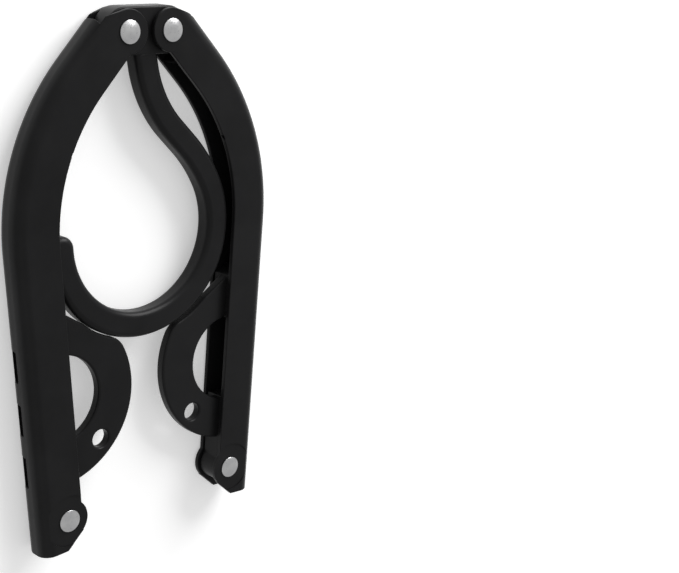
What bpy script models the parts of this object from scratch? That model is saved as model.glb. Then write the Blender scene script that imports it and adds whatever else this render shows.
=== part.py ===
"""Folding travel hanger, lying folded on its back.

Two curved channel arms hang from a hinge plate on two rivets and close round
the hook. Each arm carries an extension on a rivet near its tip: an eye, a back
bar that nests in the channel, and a crescent plate that stands out of the
channel's mouth. Lengths are in metres, +Z is the front of the hanger, +Y points
from the hook's ring to the hinge plate, and the origin is under the middle of
the folded hanger.
"""
import math

import bpy
import bmesh
from mathutils import Matrix, Vector

# Rivets and the clearances between the pieces
SHANK_RADIUS = 0.0018
HEAD_RADIUS = 0.0036
HEAD_RIM = 0.0003
DOME_RISE = 0.0006
LAND_RADIUS = 0.0022
SOCKET_DEPTH = 0.0005
FIT_GAP = 0.0001
SEAT_GAP = 0.00015
RUNNING_GAP = 0.0003

# Channel section of the arms
CHANNEL_DEPTH = 0.011
FLANGE = 0.0016
WEB = 0.0018
ARM_WIDTH = 0.015
RIVET_TO_BACK = 0.0101
EDGE_RADIUS = 0.0044
EAR_RADIUS = 0.0068
EAR_STEP = 0.0001
POCKET_RELIEF = 0.0002

# Course of an arm, from the top rivet to the tip
TOP_RIVET_REACH = 0.00795
TOP_RUN = 0.0195
SHOULDER_RADIUS = 0.0669
SHOULDER_TURN = math.radians(46.3)
LONG_RUN = 0.0872
LEAN = math.radians(3.8)
TIP_RUN = 0.0102
TIP_CHAMFER_FALL = 0.0052
TIP_CHAMFER_WIDTH = 0.0062
FOLD_ANGLE = math.radians(114)

# Windows in the arm's back wall, and the ribs inside the shoulder
WINDOW_FIRST = 0.018
WINDOW_PITCH = 0.0175
WINDOW_COUNT = 3
WINDOW_LENGTH = 0.0102
WINDOW_HEIGHT = 0.0034
WINDOW_BELOW_MIDDLE = 0.0021
WINDOW_CORNER = 0.0008
RIB_WIDTH = 0.0009
RIB_RISE = 0.0009
RIB_SPACING = 0.0024
RIB_LEAD = 0.0025
RIB_TAIL = 0.012
SPOT_RADIUS = 0.0085
SPOT_DEPTH = 0.0003

# Hook: plate, shank and open ring
PLATE_RADIUS = 0.0073
PLATE_EDGE = 0.0006
RING_SHIFT = 0.0013
RING_DROP = 0.06275
RING_RADIUS = 0.02995
ROD_WIDTH = 0.0084
ROD_THICKNESS = 0.007
ROD_EDGE = 0.002
RING_JOIN = math.radians(26.5)
RING_END = math.radians(-185.5)
SWEEP_RADIUS = 0.05
SWEEP_TURN = math.radians(18)
MID_RUN = 0.0076
BEND_RADIUS = 0.0376
BEND_TURN = math.radians(34.6)
SHANK_ROOT = 0.0015
TIP_ROUND = 0.0041

# Extension: its crescent lies below and aside of the ring, and the rest follows the crescent
EYE_RADIUS = 0.0058
MOUTH_RECESS = 0.0005
BAR_WIDTH = 0.0034
CRESCENT_BEARING = math.radians(38.3)
CRESCENT_BITE = 0.0039
CRESCENT_RADIUS = 0.0288
CRESCENT_CORNER = 0.003
PLATE_THICKNESS = 0.0036
PLATE_RIM = 0.0008
PLATE_FORWARD = 0.0008
NECK_BELOW = 0.0135
HEAD_ABOVE = 0.0145
RING_GAP = 0.00025
SCARF_ASIDE = 0.0245
SCARF_SLOPE = 0.78
SCARF_SETBACK = 0.0003
SCARF_DEPTH = 0.0036
CRESCENT_ROOT_SHARE = 0.3
OPENING_BASE_SHARE = 0.9
OPENING_INSIDE = 0.0029
OPENING_RADIUS = 0.0144
CORD_HOLE_BELOW = 0.0173
CORD_HOLE_OUT = 0.0153
CORD_HOLE_RADIUS = 0.003

# Where a cutter passes a face, and how finely round shapes are divided
OVERRUN = 0.003
MERGE_DISTANCE = 0.000001
ROUND_STEPS = 28
PIN_STEPS = 20
FILLET_STEPS = 5
ARC_STEPS = 12
RIB_STEPS = 10
RING_STEPS = 32
RIM_STEPS = 1
ROD_RIM_STEPS = 3
EDGE_SEGMENTS = 2
SHARP_ANGLE = math.radians(35)

# Levels through the thickness, from the table up
HEAD_HEIGHT = HEAD_RIM + DOME_RISE
BACK_LEVEL = HEAD_HEIGHT + SEAT_GAP
MID_LEVEL = BACK_LEVEL + CHANNEL_DEPTH / 2
FRONT_LEVEL = BACK_LEVEL + CHANNEL_DEPTH
CHANNEL_GAP = CHANNEL_DEPTH - 2 * FLANGE
INNER_THICKNESS = CHANNEL_GAP - 2 * RUNNING_GAP
HOLE_RADIUS = SHANK_RADIUS + FIT_GAP

# The arm's two straight runs and the rivets at their ends
TOP_HEADING = math.pi / 2 + LEAN - SHOULDER_TURN
LONG_HEADING = math.pi / 2 + LEAN
MOUTH_OFFSET = ARM_WIDTH - RIVET_TO_BACK
WEB_INSIDE = RIVET_TO_BACK - WEB


def unit(angle):
    """The plan direction at an angle from +X."""
    return Vector((math.cos(angle), math.sin(angle)))


def arc(centre, radius, start, end, steps):
    """Points along an arc of a circle, both ends included."""
    return [centre + radius * unit(start + (end - start) * i / steps) for i in range(steps + 1)]


def arm_course():
    """The left arm's rivet line in plan: top rivet, centre of the shoulder's arc, and tip rivet."""
    top = Vector((-TOP_RIVET_REACH, 0))
    shoulder_start = top - TOP_RUN * unit(TOP_HEADING)
    centre = shoulder_start + SHOULDER_RADIUS * unit(TOP_HEADING - math.pi / 2)
    shoulder_end = centre + SHOULDER_RADIUS * unit(LONG_HEADING + math.pi / 2)
    return top, centre, shoulder_end - LONG_RUN * unit(LONG_HEADING)


TOP_RIVET, SHOULDER_CENTRE, TIP_RIVET = arm_course()
ARM_END = TIP_RIVET - TIP_RUN * unit(LONG_HEADING)
END_CORNER = ARM_END + RIVET_TO_BACK * unit(LONG_HEADING + math.pi / 2)
PLAN_SHIFT = -(PLATE_RADIUS + END_CORNER.y) / 2
RING_CENTRE = Vector((-RING_SHIFT, -RING_DROP))


def ring_from_tip():
    """The ring's centre as (along, across) from the left tip rivet."""
    offset = RING_CENTRE - TIP_RIVET
    return Vector((offset.dot(unit(LONG_HEADING)), offset.dot(unit(LONG_HEADING - math.pi / 2))))


RING = ring_from_tip()
RING_CLEAR = RING_RADIUS + ROD_WIDTH / 2 + RING_GAP
CRESCENT = RING - (CRESCENT_RADIUS + RING_CLEAR - CRESCENT_BITE) * unit(CRESCENT_BEARING)
HEAD_START = CRESCENT.x + HEAD_ABOVE
SPINE_FACE = MOUTH_OFFSET - MOUTH_RECESS
SCARF = RING - Vector((math.sqrt(RING_CLEAR ** 2 - SCARF_ASIDE ** 2), SCARF_ASIDE))
SCARF_END = SCARF.x + SCARF_SLOPE * (SCARF.y - SPINE_FACE)
FREE_END = SCARF_END + SCARF_SLOPE * SCARF_DEPTH


def in_world(point, side=-1):
    """A plan point of the left half, moved to the model's origin and mirrored for the right."""
    return Vector((-side * point.x, point.y + PLAN_SHIFT))


def clear_scene():
    for item in list(bpy.data.objects):
        bpy.data.objects.remove(item, do_unlink=True)


def make_collection(name):
    group = bpy.data.collections.new(name)
    bpy.context.scene.collection.children.link(group)
    return group


def make_material(name, colour, roughness, metallic):
    material = bpy.data.materials.new(name)
    material.use_nodes = True
    shader = material.node_tree.nodes["Principled BSDF"]
    shader.inputs["Base Color"].default_value = (*colour, 1)
    shader.inputs["Roughness"].default_value = roughness
    shader.inputs["Metallic"].default_value = metallic
    return material


def link_only(item, group):
    for holder in list(item.users_collection):
        holder.objects.unlink(item)
    group.objects.link(item)


def as_mesh(curve, group):
    """Make a curve object a mesh object, with its loose caps welded."""
    bpy.context.view_layer.update()
    shape = curve.evaluated_get(bpy.context.evaluated_depsgraph_get())
    data = bpy.data.meshes.new_from_object(shape)
    net = bmesh.new()
    net.from_mesh(data)
    bmesh.ops.remove_doubles(net, verts=net.verts, dist=MERGE_DISTANCE)
    bmesh.ops.recalc_face_normals(net, faces=net.faces)
    net.to_mesh(data)
    net.free()
    item = bpy.data.objects.new(curve.name, data)
    item.matrix_world = curve.matrix_world
    name = curve.name
    bpy.data.objects.remove(curve, do_unlink=True)
    item.name = name
    group.objects.link(item)
    return item


def spline_of(data, points, cyclic):
    spline = data.splines.new("POLY")
    spline.points.add(len(points) - 1)
    for i, point in enumerate(points):
        spline.points[i].co = (point.x, point.y, 0, 1)
    spline.use_cyclic_u = cyclic


def flat_plate(name, outlines, thickness, level, group, rim=0, rim_steps=RIM_STEPS):
    """A plate from closed plan outlines, the later ones being holes, with rounded rims."""
    data = bpy.data.curves.new(name, "CURVE")
    data.dimensions = "2D"
    data.fill_mode = "BOTH"
    for points in outlines:
        spline_of(data, points, True)
    data.extrude = thickness / 2 - rim
    data.bevel_depth = rim
    data.bevel_resolution = rim_steps
    data.offset = -rim
    curve = bpy.data.objects.new(name, data)
    curve.location.z = level
    group.objects.link(curve)
    return as_mesh(curve, group)


def swept(name, course, section, group):
    """A closed section carried along a plan course at the channel's middle level."""
    profile_data = bpy.data.curves.new(name + "_section", "CURVE")
    profile_data.dimensions = "2D"
    spline_of(profile_data, section, True)
    profile = bpy.data.objects.new(name + "_section", profile_data)
    group.objects.link(profile)
    data = bpy.data.curves.new(name, "CURVE")
    data.dimensions = "2D"
    data.bevel_mode = "OBJECT"
    data.bevel_object = profile
    data.use_fill_caps = True
    spline_of(data, course, False)
    curve = bpy.data.objects.new(name, data)
    curve.location.z = MID_LEVEL
    group.objects.link(curve)
    item = as_mesh(curve, group)
    bpy.data.objects.remove(profile, do_unlink=True)
    return item


def cylinder(name, point, radius, bottom, top, group, steps=ROUND_STEPS):
    centre = (point.x, point.y, (bottom + top) / 2)
    bpy.ops.mesh.primitive_cylinder_add(vertices=steps, radius=radius, depth=top - bottom, location=centre)
    item = bpy.context.object
    item.name = name
    link_only(item, group)
    return item


def block(name, centre, size, level, height, angle, group, corner=0):
    """A box at a plan centre, turned about Z, with its scale applied."""
    bpy.ops.mesh.primitive_cube_add(size=1, location=(centre.x, centre.y, level))
    item = bpy.context.object
    item.name = name
    item.data.transform(Matrix.Diagonal((size.x, size.y, height, 1)))
    item.rotation_euler.z = angle
    if corner:
        rounding = item.modifiers.new("corners", "BEVEL")
        rounding.width = corner
        rounding.segments = EDGE_SEGMENTS
    link_only(item, group)
    return item


def turned(name, profile, group):
    """A turned piece: a half profile of (radius, level) points spun about Z."""
    data = bpy.data.meshes.new(name)
    corners = [(radius, 0, level) for radius, level in profile]
    data.from_pydata(corners, [(i, i + 1) for i in range(len(corners) - 1)], [])
    item = bpy.data.objects.new(name, data)
    group.objects.link(item)
    spin = item.modifiers.new("turn", "SCREW")
    spin.angle = 2 * math.pi
    spin.steps = PIN_STEPS
    spin.render_steps = PIN_STEPS
    spin.use_merge_vertices = True
    spin.merge_threshold = MERGE_DISTANCE
    return item


def combine(item, tool, operation, cutters):
    """Add a live Boolean with a tool that stays in the cutters' collection."""
    modifier = item.modifiers.new(tool.name, "BOOLEAN")
    modifier.operation = operation
    modifier.solver = "EXACT"
    modifier.object = tool
    tool.hide_render = True
    tool.display_type = "WIRE"
    link_only(tool, cutters)


def finish(item, material, pivot=None):
    """Give a piece its finish and put its origin on its pivot."""
    item.data.materials.clear()
    item.data.materials.append(material)
    if pivot is not None:
        place = item.matrix_world.translation.copy()
        item.data.transform(Matrix.Translation((place.x - pivot.x, place.y - pivot.y, 0)))
        item.location = (pivot.x, pivot.y, place.z)
    item.data.shade_smooth()
    item.data.set_sharp_from_angle(angle=SHARP_ANGLE)


def dome(radius, rise, land=0):
    """Half profile of a spherical dome as (radius, height over its rim), from its flat land outwards."""
    below = (radius ** 2 - land ** 2 - rise ** 2) / (2 * rise)
    sphere = math.hypot(radius, below)
    start, full = math.asin(land / sphere), math.asin(radius / sphere)
    angles = [start + (full - start) * i / FILLET_STEPS for i in range(FILLET_STEPS + 1)]
    return [(sphere * math.sin(a), sphere * math.cos(a) - below) for a in angles]


def post_profile(seat):
    """Post of a rivet: domed front head over its seat, and a plain shank down into the cap."""
    rim = seat + HEAD_RIM
    foot = HEAD_HEIGHT - SOCKET_DEPTH + FIT_GAP
    head = [(radius, rim + height) for radius, height in dome(HEAD_RADIUS, DOME_RISE)]
    return head + [(HEAD_RADIUS, seat), (SHANK_RADIUS, seat), (SHANK_RADIUS, foot), (0, foot)]


def cap_profile():
    """Back cap of a rivet: blind socket for the shank, and a domed back with a flat land."""
    floor = HEAD_HEIGHT - SOCKET_DEPTH
    socket = SHANK_RADIUS + FIT_GAP
    back = [(radius, DOME_RISE - height) for radius, height in dome(HEAD_RADIUS, DOME_RISE, LAND_RADIUS)]
    upper = [(0, floor), (socket, floor), (socket, HEAD_HEIGHT), (HEAD_RADIUS, HEAD_HEIGHT)]
    return upper + list(reversed(back)) + [(0, 0)]


def channel_section(side):
    """Closed U section of an arm; across runs to the mouth, up runs to the front."""
    half = CHANNEL_DEPTH / 2
    inner = half - FLANGE
    inner_across = EDGE_RADIUS - WEB
    inner_up = EDGE_RADIUS - FLANGE
    centre = Vector((EDGE_RADIUS - RIVET_TO_BACK, half - EDGE_RADIUS))
    quarter = [math.pi / 2 * (1 + i / FILLET_STEPS) for i in range(FILLET_STEPS + 1)]
    outer = [centre + EDGE_RADIUS * unit(a) for a in quarter]
    hollow = [centre + Vector((inner_across * math.cos(a), inner_up * math.sin(a))) for a in quarter]
    flip = lambda points: [Vector((p.x, -p.y)) for p in reversed(points)]
    loop = [Vector((MOUTH_OFFSET, half))] + outer + flip(outer) + [Vector((MOUTH_OFFSET, -half))]
    loop += [Vector((MOUTH_OFFSET, -inner))] + list(reversed(flip(hollow))) + list(reversed(hollow))
    loop += [Vector((MOUTH_OFFSET, inner))]
    return [Vector((side * p.x, p.y)) for p in loop]


def arm_points(side, top_run, long_run, steps=ARC_STEPS):
    """Plan points of an arm's rivet line: a straight run, the shoulder's arc, and the long run."""
    turn = arc(SHOULDER_CENTRE, SHOULDER_RADIUS, TOP_HEADING + math.pi / 2,
               LONG_HEADING + math.pi / 2, steps)
    first = turn[0] + top_run * unit(TOP_HEADING)
    last = turn[-1] - long_run * unit(LONG_HEADING)
    return [in_world(p, side) for p in [first] + turn + [last]]


def plan_angle(angle, side):
    """The turn about Z of a shape whose left-hand direction is at this angle."""
    return angle if side < 0 else math.pi - angle


def tip_point(along, across):
    """Plan point of the left half, from the tip rivet along the arm and across to its mouth."""
    return TIP_RIVET + along * unit(LONG_HEADING) + across * unit(LONG_HEADING - math.pi / 2)


def web_end_cutter(side, cutters):
    """Ends the back wall where, at full opening, it would meet the hinge plate's edge."""
    away = math.pi / 2 + FOLD_ANGLE
    reach = PLATE_RADIUS + RUNNING_GAP
    length = reach + RIVET_TO_BACK
    centre = TOP_RIVET + (reach - length / 2) * unit(away)
    size = Vector((length, 2 * (RIVET_TO_BACK + OVERRUN)))
    height = CHANNEL_GAP + 2 * POCKET_RELIEF
    return block("web_end_cut", in_world(centre, side), size, MID_LEVEL, height,
                 plan_angle(away, side), cutters)


def flange_corner_cutter(side, cutters):
    """Cuts the flanges from the back wall's end straight to the round ear of the top rivet."""
    away = math.pi / 2 + FOLD_ANGLE
    slant = away - TOP_HEADING
    along = (PLATE_RADIUS + RUNNING_GAP - RIVET_TO_BACK * math.sin(slant)) / math.cos(slant)
    corner = math.hypot(along, RIVET_TO_BACK)
    bearing = TOP_HEADING + math.atan2(RIVET_TO_BACK, along) - math.acos(EAR_RADIUS / corner)
    size = Vector((2 * RIVET_TO_BACK, 4 * RIVET_TO_BACK))
    centre = TOP_RIVET + (EAR_RADIUS + size.x / 2) * unit(bearing)
    height = CHANNEL_DEPTH + 2 * OVERRUN
    return block("flange_corner_cut", in_world(centre, side), size, MID_LEVEL, height,
                 plan_angle(bearing, side), cutters)


def tip_chamfer_cutter(side, cutters):
    """Cuts the mouth-side corner off the arm's open end."""
    upper = tip_point(TIP_CHAMFER_FALL - TIP_RUN, MOUTH_OFFSET)
    lower = tip_point(-TIP_RUN, MOUTH_OFFSET - TIP_CHAMFER_WIDTH)
    edge = upper - lower
    away = math.atan2(edge.y, edge.x) - math.pi / 2
    size = Vector((ARM_WIDTH, edge.length + ARM_WIDTH))
    centre = (upper + lower) / 2 + size.x / 2 * unit(away)
    height = CHANNEL_DEPTH + 2 * OVERRUN
    return block("tip_chamfer_cut", in_world(centre, side), size, MID_LEVEL, height,
                 plan_angle(away, side), cutters)


def window_cutters(side, cutters):
    """The row of windows through the back wall of the long run."""
    made = []
    for i in range(WINDOW_COUNT):
        centre = tip_point(WINDOW_FIRST + i * WINDOW_PITCH, WEB / 2 - RIVET_TO_BACK)
        size = Vector((WINDOW_LENGTH, WEB + 2 * OVERRUN))
        level = MID_LEVEL - WINDOW_BELOW_MIDDLE
        made.append(block(f"window_cut_{i + 1}", in_world(centre, side), size, level, WINDOW_HEIGHT,
                          plan_angle(LONG_HEADING, side), cutters, WINDOW_CORNER))
    return made


def shoulder_ribs(side, cutters):
    """Two low ribs along the inside of the back wall, round the shoulder."""
    made = []
    for row in (-1, 1):
        up = row * RIB_SPACING / 2
        inner, outer = RIB_RISE - WEB_INSIDE, -WEB_INSIDE - WEB / 2
        low, high = up - RIB_WIDTH / 2, up + RIB_WIDTH / 2
        loop = [Vector((inner, low)), Vector((inner, high)), Vector((outer, high)), Vector((outer, low))]
        section = [Vector((side * p.x, p.y)) for p in loop]
        made.append(swept("shoulder_rib", arm_points(side, RIB_LEAD, RIB_TAIL, RIB_STEPS), section, cutters))
    return made


def make_arm(name, side, pieces, cutters):
    """One arm: the swept channel with its ears, ends, windows, ribs and rivet holes."""
    item = swept(name, arm_points(side, TOP_RUN, LONG_RUN + TIP_RUN), channel_section(side), pieces)
    combine(item, flange_corner_cutter(side, cutters), "DIFFERENCE", cutters)
    combine(item, tip_chamfer_cutter(side, cutters), "DIFFERENCE", cutters)
    top, tip = in_world(TOP_RIVET, side), in_world(TIP_RIVET, side)
    for centre in (top, tip):
        for level in (BACK_LEVEL, FRONT_LEVEL - FLANGE):
            ear = cylinder("ear", centre, EAR_RADIUS, level + EAR_STEP, level + FLANGE - EAR_STEP, cutters)
            combine(item, ear, "UNION", cutters)
    for rib in shoulder_ribs(side, cutters):
        combine(item, rib, "UNION", cutters)
    combine(item, web_end_cutter(side, cutters), "DIFFERENCE", cutters)
    for window in window_cutters(side, cutters):
        combine(item, window, "DIFFERENCE", cutters)
    spot = cylinder("spot_face_cut", tip, SPOT_RADIUS, FRONT_LEVEL - SPOT_DEPTH,
                    FRONT_LEVEL + OVERRUN, cutters)
    combine(item, spot, "DIFFERENCE", cutters)
    for centre in (top, tip):
        hole = cylinder("rivet_hole_cut", centre, HOLE_RADIUS, BACK_LEVEL - OVERRUN,
                        FRONT_LEVEL + OVERRUN, cutters, PIN_STEPS)
        combine(item, hole, "DIFFERENCE", cutters)
    return item


def circle(centre, radius, steps):
    return arc(centre, radius, 0, 2 * math.pi, steps)[:-1]


def spine_outline():
    """The thick part of an extension as (along, across): eye, neck, back bar and head."""
    back = RUNNING_GAP - WEB_INSIDE
    bar = back + BAR_WIDTH
    start = math.asin(SPINE_FACE / EYE_RADIUS)
    eye = arc(Vector((0, 0)), EYE_RADIUS, start, 3 * math.pi / 2, ARC_STEPS)
    return eye + [
        Vector((EYE_RADIUS, back)),
        Vector((FREE_END, back)),
        Vector((FREE_END, SPINE_FACE - SCARF_DEPTH)),
        Vector((SCARF_END, SPINE_FACE)),
        Vector((HEAD_START, SPINE_FACE)),
        Vector((HEAD_START, bar)),
        Vector((CRESCENT.x - NECK_BELOW, bar)),
        Vector((CRESCENT.x - NECK_BELOW, SPINE_FACE)),
    ]


def crescent_outline():
    """The crescent plate as (along, across), with its root inside the neck and the back bar."""
    gap = RING - CRESCENT
    reach = (CRESCENT_RADIUS ** 2 - RING_CLEAR ** 2 + gap.length ** 2) / (2 * gap.length)
    height = math.sqrt(CRESCENT_RADIUS ** 2 - reach ** 2)
    line = gap.normalized()
    corner = CRESCENT + reach * line + height * Vector((-line.y, line.x))
    other = CRESCENT + reach * line - height * Vector((-line.y, line.x))
    if other.x < corner.x:
        corner = other
    from_ring = math.atan2(corner.y - RING.y, corner.x - RING.x)
    to_scarf = math.atan2(SCARF.y - RING.y, SCARF.x - RING.x)
    from_ring, to_scarf = from_ring % (2 * math.pi), to_scarf % (2 * math.pi)
    from_crescent = math.atan2(corner.y - CRESCENT.y, corner.x - CRESCENT.x)
    ring_side = arc(RING, RING_CLEAR, to_scarf, from_ring + CRESCENT_CORNER / RING_CLEAR, ARC_STEPS // 2)
    outer = arc(CRESCENT, CRESCENT_RADIUS, from_crescent + CRESCENT_CORNER / CRESCENT_RADIUS,
                math.pi, ROUND_STEPS)
    ends = ring_side[-1], outer[0]
    blend = []
    for i in range(1, FILLET_STEPS):
        t = i / FILLET_STEPS
        blend.append((1 - t) ** 2 * ends[0] + 2 * t * (1 - t) * corner + t ** 2 * ends[1])
    root = RUNNING_GAP - WEB_INSIDE + BAR_WIDTH * CRESCENT_ROOT_SHARE
    top = (HEAD_START + FREE_END) / 2
    inside = SPINE_FACE - OVERRUN
    entry = Vector((SCARF_END + SCARF_SLOPE * OVERRUN - SCARF_SETBACK, inside))
    base = [Vector((outer[-1].x, root)), Vector((top, root)), Vector((top, inside)), entry]
    return base + ring_side + blend + outer


def opening_outline():
    """The D-shaped opening as (along, across): an arc closed by a line inside the back bar."""
    base = RUNNING_GAP - WEB_INSIDE + BAR_WIDTH * OPENING_BASE_SHARE
    centre = Vector((CRESCENT.x, MOUTH_OFFSET - OPENING_INSIDE))
    drop = math.asin((base - centre.y) / OPENING_RADIUS)
    return arc(centre, OPENING_RADIUS, drop, math.pi - drop, ROUND_STEPS)


def from_tip(points, side):
    return [in_world(tip_point(p.x, p.y), side) for p in points]


def nest_section(side):
    """What fits in the channel with a running gap: its section, rounded at the back like the channel."""
    half = INNER_THICKNESS / 2
    back = WEB_INSIDE - RUNNING_GAP
    across = EDGE_RADIUS - WEB
    up = EDGE_RADIUS - FLANGE
    centre = Vector((across - back, half - up))
    quarter = [math.pi / 2 * (1 + i / FILLET_STEPS) for i in range(FILLET_STEPS + 1)]
    upper = [centre + Vector((across * math.cos(a), up * math.sin(a))) for a in quarter]
    lower = [Vector((p.x, -p.y)) for p in reversed(upper)]
    loop = [Vector((ARM_WIDTH, half))] + upper + lower + [Vector((ARM_WIDTH, -half))]
    return [Vector((side * p.x, p.y)) for p in loop]


def make_extension(name, side, pieces, cutters):
    """One extension: thick spine fitted to the channel, joined to its crescent plate."""
    item = flat_plate(name, [from_tip(spine_outline(), side)], INNER_THICKNESS + 2 * OVERRUN,
                      MID_LEVEL, pieces)
    course = from_tip([Vector((FREE_END + OVERRUN, 0)), Vector((-EYE_RADIUS - OVERRUN, 0))], side)
    combine(item, swept("nest", course, nest_section(side), cutters), "INTERSECT", cutters)
    cord_hole = circle(CRESCENT + Vector((-CORD_HOLE_BELOW, CORD_HOLE_OUT)), CORD_HOLE_RADIUS, PIN_STEPS)
    outlines = [from_tip(o, side) for o in (crescent_outline(), opening_outline(), cord_hole)]
    crescent = flat_plate("crescent", outlines, PLATE_THICKNESS, MID_LEVEL + PLATE_FORWARD, cutters,
                          PLATE_RIM)
    combine(item, crescent, "UNION", cutters)
    hole = cylinder("rivet_hole_cut", in_world(TIP_RIVET, side), HOLE_RADIUS, BACK_LEVEL - OVERRUN,
                    FRONT_LEVEL + OVERRUN, cutters, PIN_STEPS)
    combine(item, hole, "DIFFERENCE", cutters)
    return item


def hook_course():
    """Plan points of the rod's middle line and its heading at each, from the free end to the hinge plate."""
    begin = RING_END + TIP_ROUND / RING_RADIUS
    turn = [begin + (RING_JOIN - begin) * i / RING_STEPS for i in range(RING_STEPS + 1)]
    points = [RING_CENTRE + RING_RADIUS * unit(angle) for angle in turn]
    headings = [angle + math.pi / 2 for angle in turn]

    def bend(radius, swing):
        heading = headings[-1]
        centre = points[-1] + radius * unit(heading + math.pi / 2)
        for i in range(ARC_STEPS):
            headings.append(heading + swing * (i + 1) / ARC_STEPS)
            points.append(centre - radius * unit(headings[-1] + math.pi / 2))

    def run(length):
        points.append(points[-1] + length * unit(headings[-1]))
        headings.append(headings[-1])

    bend(SWEEP_RADIUS, SWEEP_TURN)
    run(MID_RUN)
    bend(-BEND_RADIUS, -BEND_TURN)
    run((SHANK_ROOT - PLATE_RADIUS - points[-1].y) / math.sin(headings[-1]))
    return points, headings


def rod_outline():
    """The rod in plan: both sides of its course, and rounded corners at the ring's free end."""
    points, headings = hook_course()
    half = ROD_WIDTH / 2
    inner = [p + half * unit(h + math.pi / 2) for p, h in zip(points[1:], headings[1:])]
    outer = [p - half * unit(h + math.pi / 2) for p, h in zip(points[1:], headings[1:])]
    begin = headings[0] - math.pi / 2
    corners = []
    for reach, start in ((TIP_ROUND - half, begin + math.pi), (half - TIP_ROUND, begin + 3 * math.pi / 2)):
        centre = RING_CENTRE + (RING_RADIUS + reach) * unit(begin)
        corners += arc(centre, TIP_ROUND, start, start + math.pi / 2, FILLET_STEPS)
    return corners + outer + list(reversed(inner))


def make_hook(name, pieces, cutters):
    """Hinge plate round both top rivets, shank and open ring in one moulding."""
    right, left = Vector((TOP_RIVET_REACH, 0)), Vector((-TOP_RIVET_REACH, 0))
    plate = arc(right, PLATE_RADIUS, -math.pi / 2, math.pi / 2, ARC_STEPS)
    plate += arc(left, PLATE_RADIUS, math.pi / 2, 3 * math.pi / 2, ARC_STEPS)
    holes = [circle(centre, HOLE_RADIUS, PIN_STEPS) for centre in (left, right)]
    outlines = [[in_world(p) for p in points] for points in [plate] + holes]
    item = flat_plate(name, outlines, INNER_THICKNESS, MID_LEVEL, pieces, PLATE_EDGE)
    rod = flat_plate("ring_rod", [[in_world(p) for p in rod_outline()]], ROD_THICKNESS, MID_LEVEL,
                     cutters, ROD_EDGE, ROD_RIM_STEPS)
    combine(item, rod, "UNION", cutters)
    return item


def make_rivet(place, point, front, pieces, metal):
    """A rivet in two pieces on one axis: the post with the front head, and the back cap."""
    made = []
    post, cap = post_profile(front + SEAT_GAP), cap_profile()
    for name, profile in (("rivet_" + place, post), ("rivet_cap_" + place, cap)):
        item = turned(name, profile, pieces)
        item.location = (point.x, point.y, 0)
        finish(item, metal)
        made.append(item)
    return made


def carry(parent, children):
    """Parent pieces to the one that carries them, keeping their places."""
    for child in children:
        child.parent = parent
        child.location = child.location - parent.location


def main():
    clear_scene()
    pieces = make_collection("folding_travel_hanger")
    cutters = make_collection("cutters")
    plastic = make_material("black_plastic", (0.012, 0.012, 0.013), 0.38, 0)
    metal = make_material("rivet_metal", (0.72, 0.72, 0.73), 0.28, 1)
    hook = make_hook("hook", pieces, cutters)
    finish(hook, plastic, in_world(Vector((0, 0))))
    for side, hand in ((-1, "left"), (1, "right")):
        top, tip = in_world(TOP_RIVET, side), in_world(TIP_RIVET, side)
        arm = make_arm(hand + "_arm", side, pieces, cutters)
        extension = make_extension(hand + "_extension", side, pieces, cutters)
        finish(arm, plastic, top)
        finish(extension, plastic, tip)
        top_rivet = make_rivet("top_" + hand, top, FRONT_LEVEL, pieces, metal)
        tip_rivet = make_rivet("tip_" + hand, tip, FRONT_LEVEL - SPOT_DEPTH, pieces, metal)
        carry(arm, [extension] + tip_rivet)
        carry(hook, [arm] + top_rivet)


main()
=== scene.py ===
"""Folding travel hanger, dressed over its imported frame.

Every moulding and rivet is worked out again with numpy at a finer step than the
frame's own solids, from the same sizes, and stands in the same place.
"""
import math

import bmesh
import bpy
import numpy as np
from mathutils import Matrix, Vector, geometry


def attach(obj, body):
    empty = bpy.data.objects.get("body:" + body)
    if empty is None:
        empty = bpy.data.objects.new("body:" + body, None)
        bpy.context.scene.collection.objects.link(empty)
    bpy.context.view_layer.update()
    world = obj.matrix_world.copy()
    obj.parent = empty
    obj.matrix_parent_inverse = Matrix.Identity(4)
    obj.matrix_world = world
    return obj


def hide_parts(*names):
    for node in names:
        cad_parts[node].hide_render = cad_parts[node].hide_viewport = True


# Rivets and clearances
HEAD_RADIUS = 0.0036
HEAD_RIM = 0.0003
DOME_RISE = 0.0006
LAND_RADIUS = 0.0022
SHANK_RADIUS = 0.0018
FIT_GAP = 0.0001
SEAT_GAP = 0.00015
RUNNING_GAP = 0.0003
SOCKET_DEPTH = 0.0005

# Arms
CHANNEL_DEPTH = 0.011
FLANGE = 0.0016
WEB = 0.0018
ARM_WIDTH = 0.015
RIVET_TO_BACK = 0.0101
EDGE_RADIUS = 0.0044
EAR_RADIUS = 0.0068
POCKET_RELIEF = 0.0002
TOP_RIVET_REACH = 0.00795
TOP_RUN = 0.0195
SHOULDER_RADIUS = 0.0669
SHOULDER_TURN = math.radians(46.3)
LONG_RUN = 0.0872
LEAN = math.radians(3.8)
TIP_RUN = 0.0102
TIP_CHAMFER_FALL = 0.0052
TIP_CHAMFER_WIDTH = 0.0062
FOLD_ANGLE = math.radians(114)
WINDOW_FIRST = 0.018
WINDOW_PITCH = 0.0175
WINDOW_COUNT = 3
WINDOW_LENGTH = 0.0102
WINDOW_HEIGHT = 0.0034
WINDOW_BELOW_MIDDLE = 0.0021
RIB_WIDTH = 0.0009
RIB_RISE = 0.0009
RIB_SPACING = 0.0024
RIB_LEAD = 0.0025
RIB_TAIL = 0.012
SPOT_RADIUS = 0.0085
SPOT_DEPTH = 0.0003

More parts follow.
